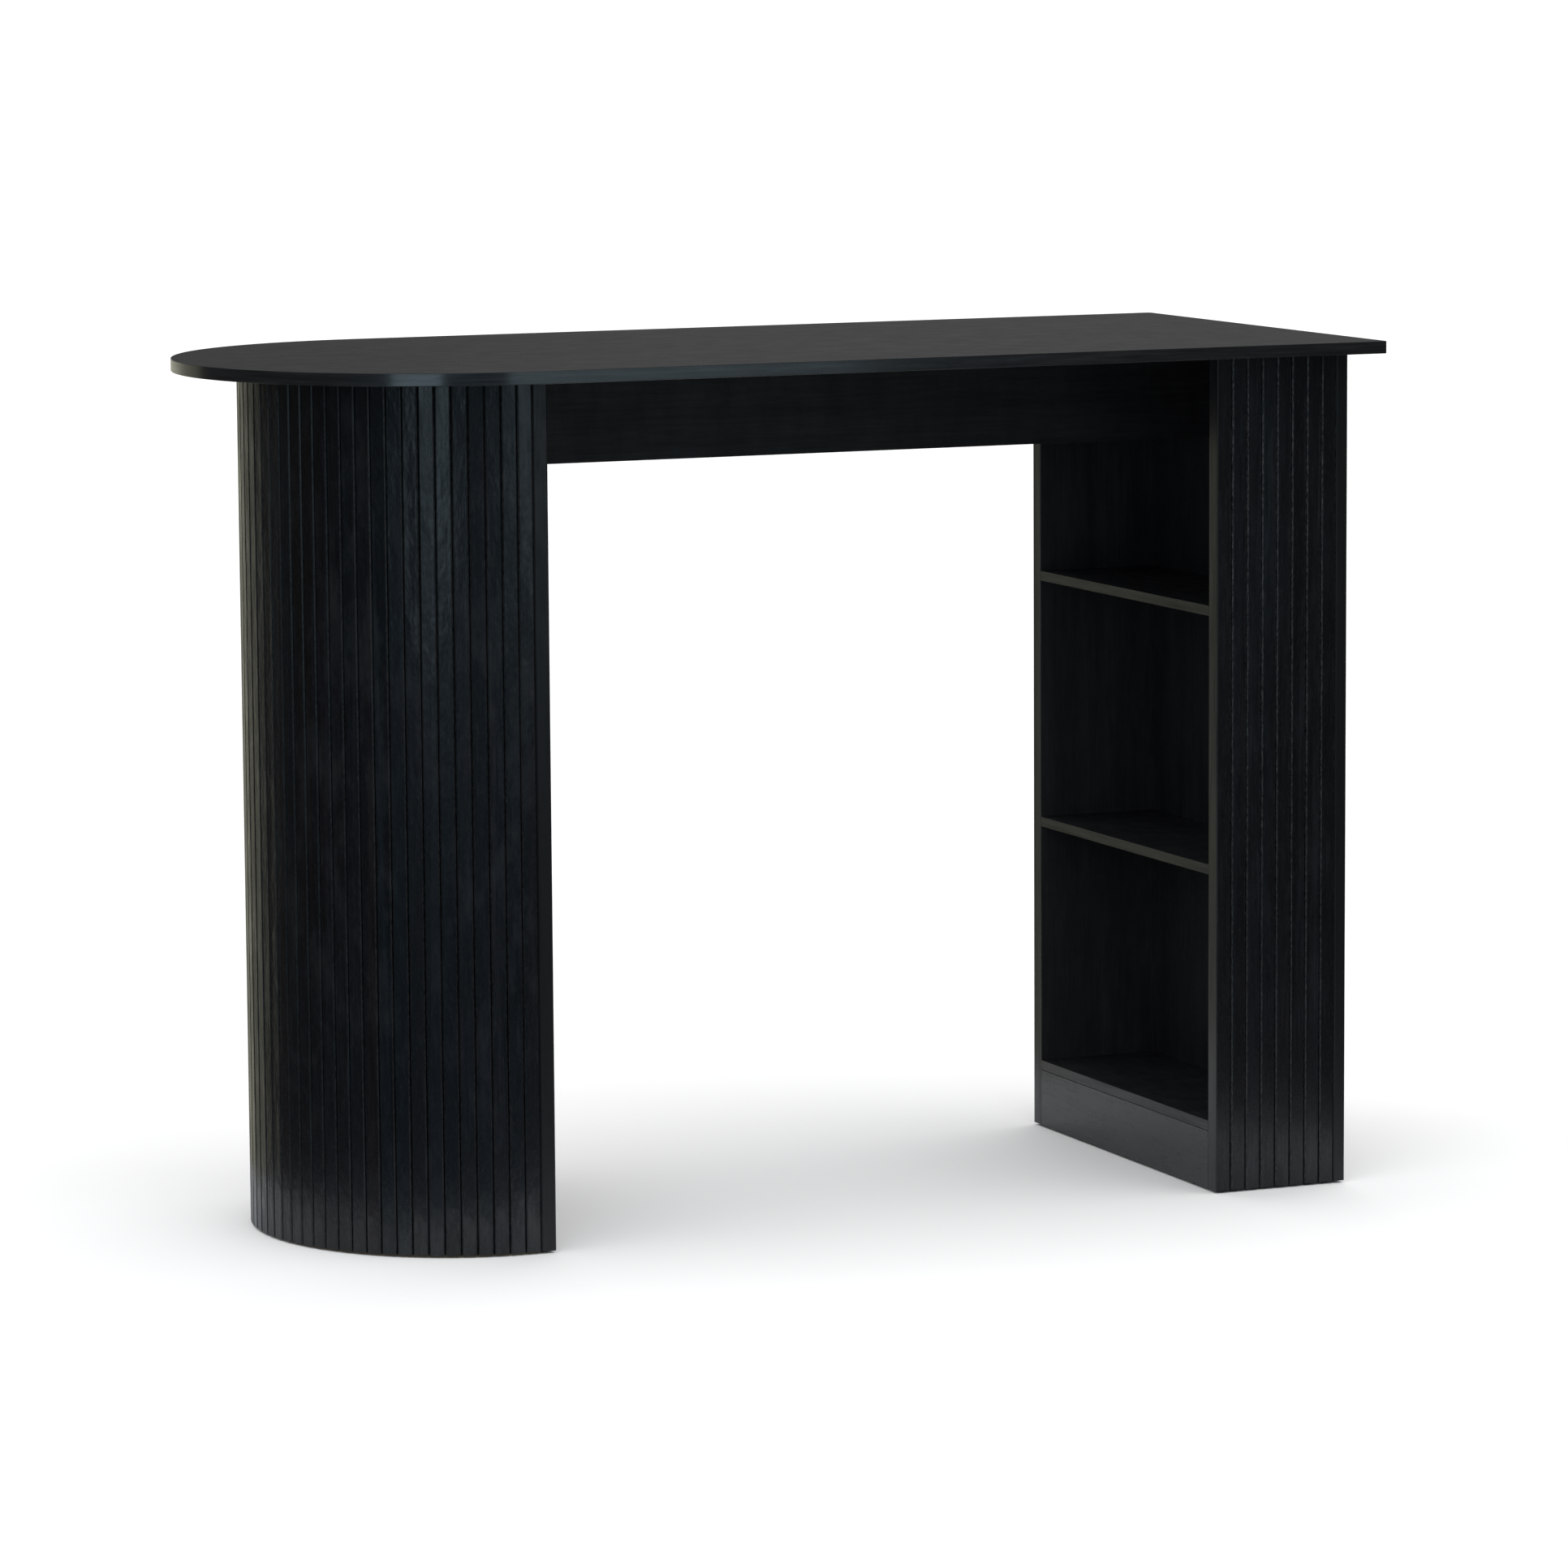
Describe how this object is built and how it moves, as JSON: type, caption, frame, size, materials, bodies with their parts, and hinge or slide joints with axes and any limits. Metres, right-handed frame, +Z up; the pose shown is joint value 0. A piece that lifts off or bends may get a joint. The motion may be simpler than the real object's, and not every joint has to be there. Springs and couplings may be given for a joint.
{
  "type": "bar table with storage",
  "caption": "Bar-height table in black wood grain: thin D-shaped top on a half-round slatted drum and a slim open shelf unit with slatted sides, joined by a rail under the top.",
  "frame": {"origin": "on the floor, under the middle of the table top", "axes": "+X along the table from the round end to the shelf unit, +Y to the back, +Z up"},
  "size_m": [1.3998, 0.64, 1.03],
  "materials": {
    "black_laminate": "satin",
    "black_slat": "satin",
    "black_board": "satin",
    "black_edge_band": "satin",
    "plywood": "raw",
    "beech": "raw",
    "zinc_steel": "zinc plated",
    "black_plastic": "matte"
  },
  "bodies": {
    "root": {"top_panel": "black_laminate", "top_edge_band": "black_edge_band", "apron_rail": "black_board", "apron_brackets": "zinc_steel", "bracket_screws": "zinc_steel", "apron_dowels": "beech", "drum_inner_panel": "black_board", "drum_slats": "black_slat", "drum_shell": "plywood", "drum_top_plate": "plywood", "drum_upper_rib": "plywood", "drum_lower_rib": "plywood", "drum_base_plate": "plywood", "drum_front_batten": "plywood", "drum_back_batten": "plywood", "drum_dowels": "beech", "drum_glides": "black_plastic", "unit_front_panel": "black_board", "unit_back_panel": "black_board", "unit_front_slats": "black_slat", "unit_back_slats": "black_slat", "unit_front_edge_band": "black_edge_band", "unit_back_edge_band": "black_edge_band", "unit_end_panel": "black_board", "unit_bottom_shelf": "black_board", "unit_lower_shelf": "black_board", "unit_upper_shelf": "black_board", "shelf_edge_bands": "black_edge_band", "unit_kick_plate": "black_board", "shelf_dowels": "beech", "end_panel_dowels": "beech", "kick_plate_dowels": "beech", "top_dowels": "beech", "cam_bolts": "zinc_steel", "cam_housings": "zinc_steel", "cam_caps": "black_plastic", "unit_glides": "black_plastic", "glide_nails": "zinc_steel"}
  },
  "joints": []
}
